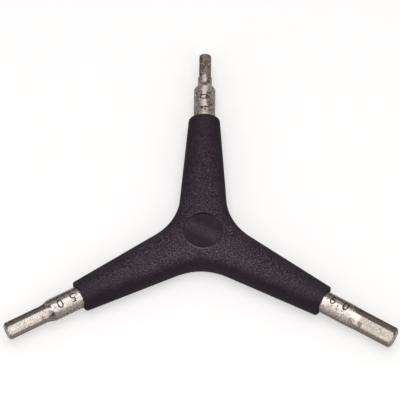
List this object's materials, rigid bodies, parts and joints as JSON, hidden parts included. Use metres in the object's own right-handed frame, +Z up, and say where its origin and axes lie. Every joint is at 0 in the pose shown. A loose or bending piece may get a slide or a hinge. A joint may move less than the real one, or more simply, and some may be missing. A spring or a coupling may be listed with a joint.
{
  "type": "y wrench",
  "caption": "Y-shaped hand wrench with a moulded plastic handle and a hexagon bit at the end of each arm, in 4 mm, 5 mm and 6 mm sizes.",
  "frame": {"origin": "middle of the flat land under the hub, on the surface that the wrench lies on", "axes": "+Y out along the 4 mm arm, +X towards the side of the 6 mm arm, +Z up through the round recess in the hub"},
  "size_m": [0.1254, 0.1087, 0.0105],
  "materials": {
    "handle_plastic": "fine moulded grain",
    "bit_steel": "worn satin nickel plate"
  },
  "bodies": {
    "root": {"handle": "handle_plastic", "hex_bit_4mm": "bit_steel", "hex_bit_5mm": "bit_steel", "hex_bit_6mm": "bit_steel"}
  },
  "joints": []
}
